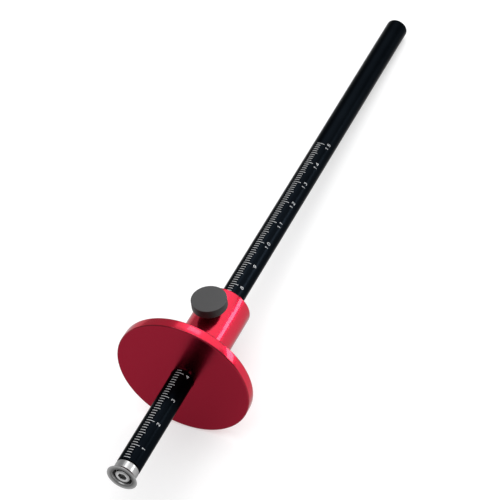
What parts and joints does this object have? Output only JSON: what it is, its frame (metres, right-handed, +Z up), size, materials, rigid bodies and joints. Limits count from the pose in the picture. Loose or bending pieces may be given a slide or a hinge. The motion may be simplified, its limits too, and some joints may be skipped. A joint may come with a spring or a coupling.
{
  "type": "wheel marking gauge",
  "caption": "Marking gauge with a round beam, a sliding disc fence locked by a thumb screw, and a hardened cutting wheel screwed to the beam's end.",
  "frame": {"origin": "under the middle of the gauge's box, on the surface that the gauge lies on", "axes": "+Z up with the thumb screw on top, +X along the beam from the cutting wheel to the tail; the beam slopes down 5.937 degrees to the tail, because the gauge lies on the fence's rim and the tail"},
  "size_m": [0.2196, 0.044, 0.044],
  "materials": {
    "black_anodised": "black anodised, semi-gloss",
    "red_anodised": "red anodised, gloss",
    "hardened_steel": "turned and ground",
    "screw_steel": "satin",
    "black_rubber": "matt",
    "brass": "turned",
    "dark_plastic": "matt"
  },
  "bodies": {
    "beam": {"beam": "black_anodised"},
    "wheel": {"cutter_wheel": "hardened_steel"},
    "wheel_screw": {"cutter_screw": "screw_steel"},
    "ring": {"fence_o_ring": "black_rubber"},
    "fence": {"fence": "red_anodised"},
    "pad": {"lock_pad": "brass"},
    "thumb_screw": {"lock_stud": "screw_steel", "lock_knob": "dark_plastic"}
  },
  "joints": [
    {"name": "fence_slide", "type": "slide", "parent": "beam", "child": "ring", "axis": [0.9946, 0, -0.1034], "range_m": [-0.0393, 0.1466]},
    {"name": "fence_turn", "type": "hinge", "parent": "ring", "child": "fence", "pos_m": [-0.06854, 0, 0.02218], "axis": [0.9946, 0, -0.1034], "continuous": true},
    {"name": "lock_travel", "type": "slide", "parent": "fence", "child": "pad", "axis": [0.1034, 0, 0.9946], "range_m": [0, 0.0014]},
    {"name": "lock_turn", "type": "hinge", "parent": "pad", "child": "thumb_screw", "pos_m": [-0.04626, 0, 0.01987], "axis": [0.1034, 0, 0.9946], "range_deg": [0, 720]},
    {"name": "wheel_turn", "type": "hinge", "parent": "beam", "child": "wheel", "pos_m": [-0.10932, 0, 0.02642], "axis": [0.9946, 0, -0.1034], "continuous": true},
    {"name": "wheel_screw_turn", "type": "hinge", "parent": "beam", "child": "wheel_screw", "pos_m": [-0.10932, 0, 0.02642], "axis": [-0.9946, 0, 0.1034], "range_deg": [0, 360]}
  ],
  "couplings": [
    {"joint": "lock_turn", "follows": "lock_travel", "rad_per_m": 8976}
  ]
}
